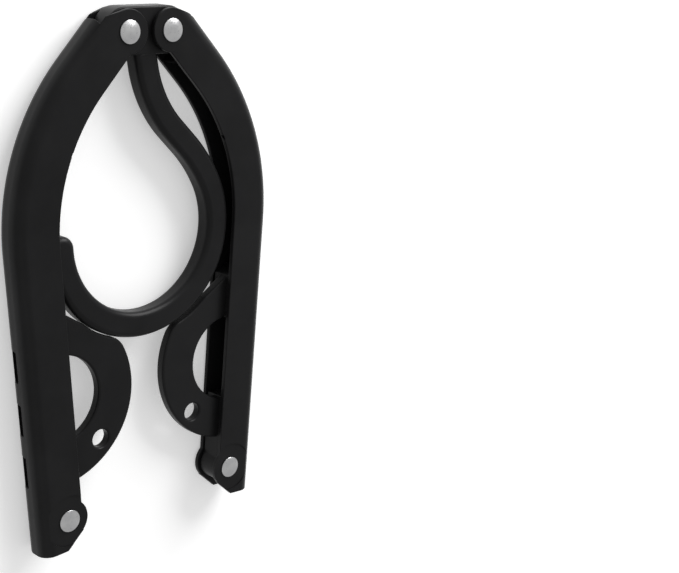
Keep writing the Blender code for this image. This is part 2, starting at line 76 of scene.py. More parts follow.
# Hook
PLATE_RADIUS = 0.0073
PLATE_EDGE = 0.0006
RING_SHIFT = 0.0013
RING_DROP = 0.06275
RING_RADIUS = 0.02995
ROD_WIDTH = 0.0084
ROD_THICKNESS = 0.007
ROD_EDGE = 0.002
RING_JOIN = math.radians(26.5)
RING_END = math.radians(-185.5)
SWEEP_RADIUS = 0.05
SWEEP_TURN = math.radians(18)
MID_RUN = 0.0076
BEND_RADIUS = 0.0376
BEND_TURN = math.radians(34.6)
SHANK_ROOT = 0.0015
TIP_ROUND = 0.0041

# Extensions, from the tip rivet along the arm and across it
EYE_RADIUS = 0.0058
MOUTH_RECESS = 0.0005
BAR_WIDTH = 0.0034
CRESCENT_BEARING = math.radians(38.3)
CRESCENT_BITE = 0.0039
CRESCENT_RADIUS = 0.0288
CRESCENT_CORNER = 0.003
PLATE_THICKNESS = 0.0036
PLATE_RIM = 0.0008
PLATE_FORWARD = 0.0008
NECK_BELOW = 0.0135
HEAD_ABOVE = 0.0145
RING_GAP = 0.00025
SCARF_ASIDE = 0.0245
SCARF_SLOPE = 0.78
SCARF_SETBACK = 0.0003
SCARF_DEPTH = 0.0036
CRESCENT_ROOT_SHARE = 0.3
OPENING_BASE_SHARE = 0.9
OPENING_INSIDE = 0.0029
OPENING_RADIUS = 0.0144
CORD_HOLE_BELOW = 0.0173
CORD_HOLE_OUT = 0.0153
CORD_HOLE_RADIUS = 0.003

# A rounding that only the looks need, how far a cutter passes a face, and how far the channel
# runs past its mouth line before the outline cuts it
EDGE_SOFTENING = 0.00028
OVERRUN = 0.003
SPREAD = 0.0023

# Fineness of the meshes
WELD = 0.000002
POLE_RADIUS = 0.00001
SHOULDER_STEPS = 30
RING_STEPS = 139
BEND_STEPS = 40
PLATE_END_STEPS = 40
HOLE_STEPS = 48
SPIN_STEPS = 72
ROD_RIM_STEPS = 10
FLAT_ANGLE = math.radians(0.4)
SOFTENED_ANGLE = math.radians(40)
SHARP_ANGLE = math.radians(42)
MITRE_LIMIT = 0.8

# Surfaces: the two ends of each colour's range
PLASTIC_DARK = (0.0105, 0.0105, 0.0109, 1)
PLASTIC_LIGHT = (0.0140, 0.0140, 0.0145, 1)
METAL_DARK = (0.70, 0.70, 0.71, 1)
METAL_LIGHT = (0.82, 0.82, 0.82, 1)
TABLE_COLOUR = (0.86, 0.86, 0.86, 1)
WHITE = (1, 1, 1, 1)

# The photograph's viewpoint, its focal length in picture widths, and the studio's light
SENSOR_WIDTH = 36.0
CAMERA_FOCAL = 1338.56 / 679
CAMERA_RIGHT = (0.7116, 0.0327, 0.7018)
CAMERA_UP = (0.1685, 0.9618, -0.2157)
CAMERA_FROM_HINGE = (-0.2473716, 0.0373172, 0.3296754)
ROOM_LIGHT = 0.42
TABLE_LIFT = 0.4
TABLE_REACH = 30.0
WINDOW_POWER = 15.0
SIDE_POWER = 0.08
SOFT_POWER = 1.0

# Levels through the thickness
HEAD_HEIGHT = HEAD_RIM + DOME_RISE
BACK_LEVEL = HEAD_HEIGHT + SEAT_GAP
MID_LEVEL = BACK_LEVEL + CHANNEL_DEPTH / 2
FRONT_LEVEL = BACK_LEVEL + CHANNEL_DEPTH
CHANNEL_GAP = CHANNEL_DEPTH - 2 * FLANGE
INNER_THICKNESS = CHANNEL_GAP - 2 * RUNNING_GAP
HOLE_RADIUS = SHANK_RADIUS + FIT_GAP
TOP_HEADING = math.pi / 2 + LEAN - SHOULDER_TURN
LONG_HEADING = math.pi / 2 + LEAN
MOUTH_OFFSET = ARM_WIDTH - RIVET_TO_BACK
WEB_INSIDE = RIVET_TO_BACK - WEB


def unit(angle):
    """Plan direction at an angle: (cosine, sine)."""
    return np.stack([np.cos(angle), np.sin(angle)], -1)


def arc(centre, radius, start, end, steps):
    """Points centre + radius times the unit direction, for angles spaced evenly from start to end."""
    return np.asarray(centre) + radius * unit(np.linspace(start, end, steps + 1))


TOP_RIVET = np.array([-TOP_RIVET_REACH, 0.0])
SHOULDER_CENTRE = TOP_RIVET - TOP_RUN * unit(TOP_HEADING) + SHOULDER_RADIUS * unit(TOP_HEADING - math.pi / 2)
TIP_RIVET = (SHOULDER_CENTRE + SHOULDER_RADIUS * unit(LONG_HEADING + math.pi / 2)
             - LONG_RUN * unit(LONG_HEADING))
END_CORNER = TIP_RIVET - TIP_RUN * unit(LONG_HEADING) + RIVET_TO_BACK * unit(LONG_HEADING + math.pi / 2)
PLAN_SHIFT = -(PLATE_RADIUS + END_CORNER[1]) / 2
RING_CENTRE = np.array([-RING_SHIFT, -RING_DROP])

# The extension, as (along, across) from the tip rivet: ring, crescent, scarf and free end
RING = np.array([(RING_CENTRE - TIP_RIVET) @ unit(LONG_HEADING),
                 (RING_CENTRE - TIP_RIVET) @ unit(LONG_HEADING - math.pi / 2)])
RING_CLEAR = RING_RADIUS + ROD_WIDTH / 2 + RING_GAP
CRESCENT = RING - (CRESCENT_RADIUS + RING_CLEAR - CRESCENT_BITE) * unit(CRESCENT_BEARING)
HEAD_START = CRESCENT[0] + HEAD_ABOVE
SPINE_FACE = MOUTH_OFFSET - MOUTH_RECESS
SCARF = RING - np.array([math.sqrt(RING_CLEAR ** 2 - SCARF_ASIDE ** 2), SCARF_ASIDE])
SCARF_END = SCARF[0] + SCARF_SLOPE * (SCARF[1] - SPINE_FACE)
FREE_END = SCARF_END + SCARF_SLOPE * SCARF_DEPTH


def placed(points):
    """Plan points moved so that the folded hanger's middle is at the origin."""
    return np.asarray(points) + np.array([0.0, PLAN_SHIFT])


def tip_frame(points):
    """(along, across) from the left tip rivet in plan: along times heading plus across times its right."""
    points = np.asarray(points)
    across = points[:, 1:] * unit(LONG_HEADING - math.pi / 2)
    return TIP_RIVET + points[:, :1] * unit(LONG_HEADING) + across


def raw_mesh(name, points, faces):
    """A mesh from arrays, welded, with its faces pointing out of the closed shell."""
    data = bpy.data.meshes.new(name)
    data.from_pydata(np.asarray(points).tolist(), [], faces)
    net = bmesh.new()
    net.from_mesh(data)
    bmesh.ops.remove_doubles(net, verts=net.verts, dist=WELD)
    bmesh.ops.recalc_face_normals(net, faces=net.faces)
    if net.calc_volume(signed=True) < 0:
        bmesh.ops.reverse_faces(net, faces=net.faces)
    net.to_mesh(data)
    net.free()
    return data


def ring_faces(rows, columns):
    """Quads between each row of a grid and the next, its columns closed on themselves."""
    row, column = np.meshgrid(np.arange(rows - 1), np.arange(columns), indexing="ij")
    after = (column + 1) % columns
    quads = np.stack([row * columns + column, row * columns + after,
                      (row + 1) * columns + after, (row + 1) * columns + column], -1)
    return quads.reshape(-1, 4).tolist()


def carried(name, path, across, section):
    """A closed section carried along a plan path: path point plus the section's first number times
    the across direction there, and the section's second number upwards. Both ends are faced."""
    plan = path[:, None, :] + section[None, :, :1] * across[:, None, :]
    up = np.broadcast_to(MID_LEVEL + section[None, :, 1:], plan.shape[:2] + (1,))
    grid = np.concatenate([plan, up], -1)
    rows, columns = grid.shape[:2]
    ends = [list(range(columns))[::-1], list(range((rows - 1) * columns, rows * columns))]
    return raw_mesh(name, grid.reshape(-1, 3), ring_faces(rows, columns) + ends)


def rounding(radius, steps=4):
    """A quarter round as (inset, fall): radius times (1 - sine, 1 - cosine), from flat face to side."""
    turn = np.linspace(0, math.pi / 2, steps + 1)
    return radius * np.stack([1 - np.sin(turn), 1 - np.cos(turn)], -1)


def inward(loop):
    """At each point of a closed anticlockwise loop, the mitred direction into it."""
    edge = np.roll(loop, -1, axis=0) - loop
    edge /= np.linalg.norm(edge, axis=1, keepdims=True)
    normal = np.stack([-edge[:, 1], edge[:, 0]], -1)
    both = normal + np.roll(normal, 1, axis=0)
    return 2 * both / np.maximum((both ** 2).sum(1, keepdims=True), MITRE_LIMIT)


def plate(name, outlines, low, high, rim, steps=4):
    """A plate whose rim is a quarter round, straight side and quarter round carried along each outline.
    The first outline goes anticlockwise round the plate, the others clockwise round its holes. The flat
    faces are triangulated between the innermost loops."""
    bend = rounding(rim, steps)
    inset = np.concatenate([bend[:, 0], bend[::-1, 0]])
    level = np.concatenate([high - bend[:, 1], low + bend[::-1, 1]])
    points, faces, tops, base = [], [], [], 0
    for i, loop in enumerate(outlines):
        area = np.sum(loop[:, 0] * np.roll(loop[:, 1], -1) - loop[:, 1] * np.roll(loop[:, 0], -1))
        loop = loop if (area > 0) == (i == 0) else loop[::-1]
        rows, columns = len(inset), len(loop)
        plan = loop[None] + inset[:, None, None] * inward(loop)[None]
        up = np.broadcast_to(level[:, None, None], (rows, columns, 1))
        points.append(np.concatenate([plan, up], -1).reshape(-1, 3))
        faces += [[base + k for k in quad] for quad in ring_faces(rows, columns)]
        tops.append((base, columns, rows))
        base += rows * columns
    points = np.concatenate(points)
    flat = [[Vector(points[start + k]) for k in range(count)] for start, count, _ in tops]
    upper = np.concatenate([start + np.arange(count) for start, count, _ in tops])
    lower = np.concatenate([start + (rows - 1) * count + np.arange(count) for start, count, rows in tops])
    for triangle in geometry.tessellate_polygon(flat):
        faces.append([int(upper[k]) for k in triangle])
        faces.append([int(lower[k]) for k in triangle][::-1])
    return raw_mesh(name, points, faces)


def turned(name, profile, centre, steps=SPIN_STEPS):
    """A half profile of (radius, level) spun about an upright axis through the centre."""
    profile = np.asarray(profile)
    turn = unit(np.linspace(0, 2 * math.pi, steps, endpoint=False))
    plan = np.asarray(centre) + profile[:, None, :1] * turn[None]
    up = np.broadcast_to(profile[:, None, 1:], plan.shape[:2] + (1,))
    grid = np.concatenate([plan, up], -1)
    rows = len(profile)
    ends = [list(range(steps))[::-1], list(range((rows - 1) * steps, rows * steps))]
    return raw_mesh(name, grid.reshape(-1, 3), ring_faces(rows, steps) + ends)


def prism(name, outline, low, high):
    """A plan outline raised from one level to another."""
    count = len(outline)
    points = np.concatenate([np.c_[outline, np.full(count, low)], np.c_[outline, np.full(count, high)]])
    ends = [list(range(count))[::-1], list(range(count, 2 * count))]
    return raw_mesh(name, points, ring_faces(2, count) + ends)


def slab(name, centre, size, angle, low, high):
    """A box in plan: centre plus half its size each way along the turned axes, raised between two levels."""
    corner = np.array([[-1, -1], [1, -1], [1, 1], [-1, 1]]) / 2 * np.asarray(size)
    turn = np.stack([unit(angle), unit(angle + math.pi / 2)])
    return prism(name, np.asarray(centre) + corner @ turn, low, high)


def carve(data, tools):
    """The mesh after each tool is joined to it, cut from it or kept in common with it, in order."""
    item = bpy.data.objects.new(data.name, data)
    bpy.context.scene.collection.objects.link(item)
    made = [item]
    for tool, operation in tools:
        cutter = bpy.data.objects.new(tool.name, tool)
        bpy.context.scene.collection.objects.link(cutter)
        made.append(cutter)
        step = item.modifiers.new(tool.name, "BOOLEAN")
        step.operation = operation
        step.solver = "EXACT"
        step.object = cutter
    bpy.context.view_layer.update()
    shape = item.evaluated_get(bpy.context.evaluated_depsgraph_get())
    result = bpy.data.meshes.new_from_object(shape)
    for old in made:
        bpy.data.objects.remove(old, do_unlink=True)
    return result


def softened(data):
    """The mesh with its coplanar faces joined and its sharp edges rounded."""
    net = bmesh.new()
    net.from_mesh(data)
    bmesh.ops.remove_doubles(net, verts=net.verts, dist=WELD)
    bmesh.ops.dissolve_limit(net, angle_limit=FLAT_ANGLE, verts=net.verts, edges=net.edges)
    net.to_mesh(data)
    net.free()
    item = bpy.data.objects.new(data.name, data)
    bpy.context.scene.collection.objects.link(item)
    edge = item.modifiers.new("edges", "BEVEL")
    edge.width = EDGE_SOFTENING
    edge.segments = 3
    edge.limit_method = "ANGLE"
    edge.angle_limit = SOFTENED_ANGLE
    edge.use_clamp_overlap = False
    edge.miter_outer = "MITER_ARC"
    bpy.context.view_layer.update()
    result = bpy.data.meshes.new_from_object(item.evaluated_get(bpy.context.evaluated_depsgraph_get()))
    bpy.data.objects.remove(item, do_unlink=True)
    return result


def mirrored(data):
    """A copy across the hanger's middle, with its faces turned back outwards."""
    copy = data.copy()
    copy.transform(Matrix.Diagonal((-1, 1, 1, 1)))
    copy.flip_normals()
    return copy


def piece(name, data, finish, body, *nodes, slot="black_plastic"):
    """Puts a finished mesh into the scene: smooth, on its body, and in place of its frame nodes."""
    data.materials.clear()
    data.materials.append(finish)
    data.shade_smooth()
    data.set_sharp_from_angle(angle=SHARP_ANGLE)
    item = bpy.data.objects.new(name, data)
    bpy.context.scene.collection.objects.link(item)
    weigh = item.modifiers.new("normals", "WEIGHTED_NORMAL")
    weigh.keep_sharp = True
    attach(item, body)
    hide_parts(*nodes)


def arm_course(top_run, long_run):
    """The left arm's rivet line: straight, the shoulder's arc, straight; and the direction to its mouth."""
    angle = np.linspace(TOP_HEADING, LONG_HEADING, SHOULDER_STEPS + 1)
    turn = SHOULDER_CENTRE + SHOULDER_RADIUS * unit(angle + math.pi / 2)
    first = turn[:1] + top_run * unit(TOP_HEADING)
    last = turn[-1:] - long_run * unit(LONG_HEADING)
    heading = np.concatenate([[TOP_HEADING], angle, [LONG_HEADING]])
    return placed(np.concatenate([first, turn, last])), unit(heading - math.pi / 2)


def channel_section():
    """The U section as (across, up): flat flanges, quarter rounds at the back and the hollow inside them."""
    half, inner = CHANNEL_DEPTH / 2, CHANNEL_DEPTH / 2 - FLANGE
    mouth = MOUTH_OFFSET + SPREAD
    turn = np.linspace(math.pi / 2, math.pi, 13)
    centre = np.array([EDGE_RADIUS - RIVET_TO_BACK, half - EDGE_RADIUS])
    outer = centre + EDGE_RADIUS * unit(turn)
    hollow = centre + np.array([EDGE_RADIUS - WEB, EDGE_RADIUS - FLANGE]) * unit(turn)
    flip = np.array([1, -1])
    return np.concatenate([[[mouth, half]], outer, outer[::-1] * flip, [[mouth, -half]],
                           [[mouth, -inner]], hollow * flip, hollow[::-1], [[mouth, inner]]])


def arm_outline():
    """Plan outline of an arm: the mouth line with an ear round each rivet, the cut end and the cut corner."""
    reach = math.sqrt(EAR_RADIUS ** 2 - MOUTH_OFFSET ** 2)
    lift = math.asin(MOUTH_OFFSET / EAR_RADIUS)
    beyond = RIVET_TO_BACK + OVERRUN
    tip_end = tip_frame([[-TIP_RUN, -beyond], [-TIP_RUN, MOUTH_OFFSET - TIP_CHAMFER_WIDTH],
                         [TIP_CHAMFER_FALL - TIP_RUN, MOUTH_OFFSET]])
    tip_ear = tip_frame(EAR_RADIUS * unit(np.linspace(math.pi - lift, lift, 15)))
    angle = np.linspace(LONG_HEADING, TOP_HEADING, SHOULDER_STEPS + 1) + math.pi / 2
    inside = SHOULDER_CENTRE + (SHOULDER_RADIUS - MOUTH_OFFSET) * unit(angle)
    outside = SHOULDER_CENTRE + (SHOULDER_RADIUS + beyond) * unit(angle[::-1])
    away = math.pi / 2 + FOLD_ANGLE
    slant = away - TOP_HEADING
    along = (PLATE_RADIUS + RUNNING_GAP - RIVET_TO_BACK * math.sin(slant)) / math.cos(slant)
    corner = math.hypot(along, RIVET_TO_BACK)
    tangent = TOP_HEADING + math.atan2(RIVET_TO_BACK, along) - math.acos(EAR_RADIUS / corner)
    start = TOP_HEADING - math.pi / 2 - (math.pi / 2 - lift)
    ear = arc(TOP_RIVET, EAR_RADIUS, start, tangent, 40)
    touch = ear[-1]
    back = TOP_RIVET + along * unit(TOP_HEADING) + RIVET_TO_BACK * unit(TOP_HEADING + math.pi / 2)
    past = back + (back - touch) / np.linalg.norm(back - touch) * OVERRUN * 2
    return placed(np.concatenate([tip_end, tip_ear, inside, ear, [past], outside]))


def arm_mesh():
    """The left arm: the channel kept inside its outline, its edges softened, then its small cuts."""
    path, across = arm_course(TOP_RUN + EAR_RADIUS + OVERRUN, LONG_RUN + TIP_RUN + OVERRUN)
    body = carried("arm", path, across, channel_section())
    away = math.pi / 2 + FOLD_ANGLE
    reach = PLATE_RADIUS + RUNNING_GAP
    length = reach + RIVET_TO_BACK
    gap = CHANNEL_GAP / 2 + POCKET_RELIEF
    web_end = slab("web_end", placed(TOP_RIVET + (reach - length / 2) * unit(away)),
                   (length, 2 * (RIVET_TO_BACK + OVERRUN)), away, MID_LEVEL - gap, MID_LEVEL + gap)
    outline = prism("outline", arm_outline(), BACK_LEVEL - OVERRUN, FRONT_LEVEL + OVERRUN)
    cuts = [(outline, "INTERSECT"), (web_end, "DIFFERENCE")]
    for i in range(WINDOW_COUNT):
        centre = tip_frame([[WINDOW_FIRST + i * WINDOW_PITCH, WEB / 2 - RIVET_TO_BACK]])[0]
        level = MID_LEVEL - WINDOW_BELOW_MIDDLE
        window = slab("window", placed(centre), (WINDOW_LENGTH, WEB + 2 * OVERRUN), LONG_HEADING,
                      level - WINDOW_HEIGHT / 2, level + WINDOW_HEIGHT / 2)
        cuts.append((window, "DIFFERENCE"))
    body = softened(carve(body, cuts))
    low, high = BACK_LEVEL - OVERRUN, FRONT_LEVEL + OVERRUN
    small = [(turned("spot_face", [(SPOT_RADIUS, FRONT_LEVEL - SPOT_DEPTH), (SPOT_RADIUS, high)],
                     placed(TIP_RIVET)), "DIFFERENCE")]
    for centre in (TOP_RIVET, TIP_RIVET):
        hole = turned("rivet_hole", [(HOLE_RADIUS, low), (HOLE_RADIUS, high)], placed(centre), HOLE_STEPS)
        small.append((hole, "DIFFERENCE"))
    return carve(body, small)


def rib_mesh(row):
    """A low rib inside the shoulder: a section with a rounded crest carried along the back wall."""
    path, across = arm_course(RIB_LEAD, RIB_TAIL)
    half = RIB_WIDTH / 2
    crest = rounding(half)
    upper = np.stack([RIB_RISE - WEB_INSIDE - crest[:, 1], half - crest[:, 0]], -1)
    root = -WEB_INSIDE - WEB / 2
    loop = np.concatenate([[[root, half]], upper[::-1], upper * np.array([1, -1]), [[root, -half]]])
    return carried("rib", path, across, loop + np.array([0, row * RIB_SPACING / 2]))


def spine_outline():
    """The thick part of an extension as (along, across): eye, neck, back bar and head."""
    back = RUNNING_GAP - WEB_INSIDE
    bar = back + BAR_WIDTH
    neck = CRESCENT[0] - NECK_BELOW
    eye = arc((0, 0), EYE_RADIUS, math.asin(SPINE_FACE / EYE_RADIUS), 3 * math.pi / 2, 48)
    return np.concatenate([eye, [
        [EYE_RADIUS, back], [FREE_END, back], [FREE_END, SPINE_FACE - SCARF_DEPTH], [SCARF_END, SPINE_FACE],
        [HEAD_START, SPINE_FACE], [HEAD_START, bar], [neck, bar], [neck, SPINE_FACE]]])


def bearing(point, centre):
    """The angle at which a point is seen from a centre, by the arc tangent of its offsets."""
    return math.atan2(point[1] - centre[1], point[0] - centre[0])


def crescent_outline():
    """The crescent plate as (along, across): an arc round the ring, a rounded corner where the two
    circles meet, the crescent's own arc, and its root inside the neck and the back bar."""
    gap = RING - CRESCENT
    far = np.linalg.norm(gap)
    reach = (CRESCENT_RADIUS ** 2 - RING_CLEAR ** 2 + far ** 2) / (2 * far)
    height = math.sqrt(CRESCENT_RADIUS ** 2 - reach ** 2)
    line = gap / far
    side = np.array([-line[1], line[0]])
    corner = min((CRESCENT + reach * line + s * height * side for s in (1, -1)), key=lambda p: p[0])
    from_ring = bearing(corner, RING) % (2 * math.pi)
    to_scarf = bearing(SCARF, RING) % (2 * math.pi)
    ring_side = arc(RING, RING_CLEAR, to_scarf, from_ring + CRESCENT_CORNER / RING_CLEAR, 24)
    outer = arc(CRESCENT, CRESCENT_RADIUS, bearing(corner, CRESCENT) + CRESCENT_CORNER / CRESCENT_RADIUS,
                math.pi, 96)
    t = np.linspace(0, 1, 12)[1:-1, None]
    blend = (1 - t) ** 2 * ring_side[-1] + 2 * t * (1 - t) * corner + t ** 2 * outer[0]
    root = RUNNING_GAP - WEB_INSIDE + BAR_WIDTH * CRESCENT_ROOT_SHARE
    top = (HEAD_START + FREE_END) / 2
    inside = SPINE_FACE - OVERRUN
    entry = SCARF_END + SCARF_SLOPE * OVERRUN - SCARF_SETBACK
    base = np.array([[outer[-1][0], root], [top, root], [top, inside], [entry, inside]])
    return np.concatenate([base, ring_side, blend, outer])


def opening_outline():
    """The D-shaped opening as (along, across): an arc closed by a line inside the back bar."""
    base = RUNNING_GAP - WEB_INSIDE + BAR_WIDTH * OPENING_BASE_SHARE
    centre = CRESCENT[0], MOUTH_OFFSET - OPENING_INSIDE
    drop = math.asin((base - centre[1]) / OPENING_RADIUS)
    return arc(centre, OPENING_RADIUS, drop, math.pi - drop, 72)


def extension_mesh():
    """The left extension: the spine kept inside what fits the channel, joined to its crescent plate."""
    spine = prism("spine", placed(tip_frame(spine_outline())),
                  MID_LEVEL - INNER_THICKNESS, MID_LEVEL + INNER_THICKNESS)
    half = INNER_THICKNESS / 2
    turn = np.linspace(math.pi / 2, math.pi, 9)
    across, up = EDGE_RADIUS - WEB, EDGE_RADIUS - FLANGE
    centre = np.array([across - WEB_INSIDE + RUNNING_GAP, half - up])
    upper = centre + np.array([across, up]) * unit(turn)
    lower = upper[::-1] * np.array([1, -1])
    section = np.concatenate([[[ARM_WIDTH, half]], upper, lower, [[ARM_WIDTH, -half]]])
    ends = placed(tip_frame([[FREE_END + OVERRUN, 0], [-EYE_RADIUS - OVERRUN, 0]]))
    nest = carried("nest", ends, np.tile(unit(LONG_HEADING - math.pi / 2), (2, 1)), section)
    body = softened(carve(spine, [(nest, "INTERSECT")]))
    cord_hole = arc(CRESCENT + np.array([-CORD_HOLE_BELOW, CORD_HOLE_OUT]), CORD_HOLE_RADIUS,
                    0, 2 * math.pi, HOLE_STEPS)[:-1]
    outlines = [placed(tip_frame(o)) for o in (crescent_outline(), opening_outline(), cord_hole)]
    level, half = MID_LEVEL + PLATE_FORWARD, PLATE_THICKNESS / 2
    crescent = plate("crescent", outlines, level - half, level + half, PLATE_RIM)
    profile = [(HOLE_RADIUS, MID_LEVEL - CHANNEL_DEPTH), (HOLE_RADIUS, MID_LEVEL + CHANNEL_DEPTH)]
    hole = turned("rivet_hole", profile, placed(TIP_RIVET), HOLE_STEPS)
    return carve(body, [(crescent, "UNION"), (hole, "DIFFERENCE")])


def hook_course():
    """The rod's middle line from the ring's free end: the ring, the sweep out of it, a straight, the bend
    back and the run up into the hinge plate; and the heading along it."""
    heading = np.linspace(RING_END, RING_JOIN, RING_STEPS + 1) + math.pi / 2
    line = RING_CENTRE + RING_RADIUS * unit(heading - math.pi / 2)

    def bend(radius, swing):
        turn = heading[-1] + np.linspace(0, swing, BEND_STEPS + 1)[1:]
        centre = line[-1] + radius * unit(heading[-1] + math.pi / 2)
        return np.concatenate([line, centre - radius * unit(turn + math.pi / 2)]), np.append(heading, turn)

    def run(length):
        return np.concatenate([line, line[-1:] + length * unit(heading[-1])]), np.append(heading, heading[-1])

    line, heading = bend(SWEEP_RADIUS, SWEEP_TURN)
    line, heading = run(MID_RUN)
    line, heading = bend(-BEND_RADIUS, -BEND_TURN)
    return run((SHANK_ROOT - PLATE_RADIUS - line[-1][1]) / math.sin(heading[-1]))


def rod_outline():
    """The rod in plan: its line moved half its width to each side, with a rounded free end. The sides
    begin past the rounding, so that the outline doesn't fold over itself."""
    line, heading = hook_course()
    half = ROD_WIDTH / 2
    begin = RING_END + TIP_ROUND / RING_RADIUS
    past = np.arange(len(line)) * (RING_JOIN - RING_END) / RING_STEPS + RING_END > begin
    inner = (line + half * unit(heading + math.pi / 2))[past]
    outer = (line - half * unit(heading + math.pi / 2))[past]
    quarter = math.pi / 2
    turns = (TIP_ROUND - half, begin + math.pi), (half - TIP_ROUND, begin + 3 * math.pi / 2)
    corners = [arc(RING_CENTRE + (RING_RADIUS + reach) * unit(begin), TIP_ROUND, start, start + quarter, 12)
               for reach, start in turns]
    return np.concatenate(corners + [outer, inner[::-1]])


def hook_mesh():
    """The hook: hinge plate round both rivet holes, joined to the rod with its rounded edges."""
    right, left = (TOP_RIVET_REACH, 0), (-TOP_RIVET_REACH, 0)
    outline = np.concatenate([arc(right, PLATE_RADIUS, -math.pi / 2, math.pi / 2, PLATE_END_STEPS),
                              arc(left, PLATE_RADIUS, math.pi / 2, 3 * math.pi / 2, PLATE_END_STEPS)])
    holes = [arc(c, HOLE_RADIUS, 0, 2 * math.pi, HOLE_STEPS)[:-1] for c in (left, right)]
    half = INNER_THICKNESS / 2
    body = plate("hinge_plate", [placed(outline)] + [placed(h) for h in holes],
                 MID_LEVEL - half, MID_LEVEL + half, PLATE_EDGE)
    half = ROD_THICKNESS / 2
    rod = plate("rod", [placed(rod_outline())], MID_LEVEL - half, MID_LEVEL + half, ROD_EDGE,
                ROD_RIM_STEPS)
    return carve(body, [(rod, "UNION")])


def dome(radius, rise, land=0.0, steps=12):
    """A shallow spherical cap as (radius, height over its rim), from its land outwards."""
    below = (radius ** 2 - land ** 2 - rise ** 2) / (2 * rise)
    sphere = math.hypot(radius, below)
    turn = np.linspace(math.asin(land / sphere), math.asin(radius / sphere), steps + 1)
    return np.stack([sphere * np.sin(turn), sphere * np.cos(turn) - below], -1)


def rivet_meshes(centre, front):
    """A rivet's post with its domed head, and its back cap, each a half profile spun about its axis."""
    seat = front + SEAT_GAP
    foot = HEAD_HEIGHT - SOCKET_DEPTH + FIT_GAP
    soft = HEAD_RIM / 2
    cap = dome(HEAD_RADIUS - soft, DOME_RISE)
    edge = HEAD_RADIUS - soft + soft * np.sin(np.linspace(0, math.pi / 2, 5))[1:]
    fall = soft * (1 - np.cos(np.linspace(0, math.pi / 2, 5)))[1:]
    head = [[max(r, POLE_RADIUS), seat + HEAD_RIM + h] for r, h in cap]
    rim = np.stack([edge, seat + HEAD_RIM - fall], -1).tolist()
    post = head + rim + [[HEAD_RADIUS, seat], [SHANK_RADIUS, seat], [SHANK_RADIUS, foot]]
    floor = HEAD_HEIGHT - SOCKET_DEPTH
    back = [[r, DOME_RISE - h] for r, h in dome(HEAD_RADIUS, DOME_RISE, LAND_RADIUS)][::-1]
    shell = [[HOLE_RADIUS, floor], [HOLE_RADIUS, HEAD_HEIGHT], [HEAD_RADIUS, HEAD_HEIGHT]] + back
    return turned("rivet_post", post, placed(centre)), turned("rivet_cap", shell, placed(centre))


def node_of(tree, kind, **sockets):
    """Adds a shader node and sets the named input sockets to plain values."""
    made = tree.nodes.new(kind)
    for socket, value in sockets.items():
        made.inputs[socket.replace("_", " ")].default_value = value
    return made


def span(tree, source, low, high, to_low, to_high):
    """A Map Range from one span of values to another, fed by a socket."""
    made = tree.nodes.new("ShaderNodeMapRange")
    for socket, value in (("From Min", low), ("From Max", high), ("To Min", to_low), ("To Max", to_high)):
        made.inputs[socket].default_value = value
    tree.links.new(source, made.inputs["Value"])
    return made.outputs["Result"]


def black_plastic():
    """Satin black moulding: near-black colour with faint flow marks, fine spark-eroded grain in its
    roughness and height."""
    finish = bpy.data.materials.new("satin_black_plastic")
    finish.use_nodes = True
    tree = finish.node_tree
    shader = tree.nodes["Principled BSDF"]
    shader.inputs["IOR"].default_value = 1.45
    shader.inputs["Specular IOR Level"].default_value = 0.17
    place = tree.nodes.new("ShaderNodeTexCoord").outputs["Object"]
    flow = node_of(tree, "ShaderNodeTexNoise", Scale=55.0, Detail=4.0, Roughness=0.6)
    grain = node_of(tree, "ShaderNodeTexNoise", Scale=2600.0, Detail=3.0, Roughness=0.6)
    smudge = node_of(tree, "ShaderNodeTexNoise", Scale=190.0, Detail=5.0, Roughness=0.65)
    for noise in (flow, grain, smudge):
        tree.links.new(place, noise.inputs["Vector"])
    tint = tree.nodes.new("ShaderNodeMix")
    tint.data_type = "RGBA"
    tint.inputs["A"].default_value = PLASTIC_DARK
    tint.inputs["B"].default_value = PLASTIC_LIGHT
    tree.links.new(span(tree, flow.outputs["Fac"], 0.35, 0.65, 0.0, 1.0), tint.inputs["Factor"])
    tree.links.new(tint.outputs["Result"], shader.inputs["Base Color"])
    rough = tree.nodes.new("ShaderNodeMath")
    rough.operation = "ADD"
    tree.links.new(span(tree, smudge.outputs["Fac"], 0.3, 0.7, 0.30, 0.38), rough.inputs[0])
    tree.links.new(span(tree, grain.outputs["Fac"], 0.3, 0.7, -0.03, 0.03), rough.inputs[1])
    tree.links.new(rough.outputs["Value"], shader.inputs["Roughness"])
    relief = node_of(tree, "ShaderNodeBump", Strength=0.12, Distance=0.00004)
    tree.links.new(grain.outputs["Fac"], relief.inputs["Height"])
    tree.links.new(relief.outputs["Normal"], shader.inputs["Normal"])
    return finish


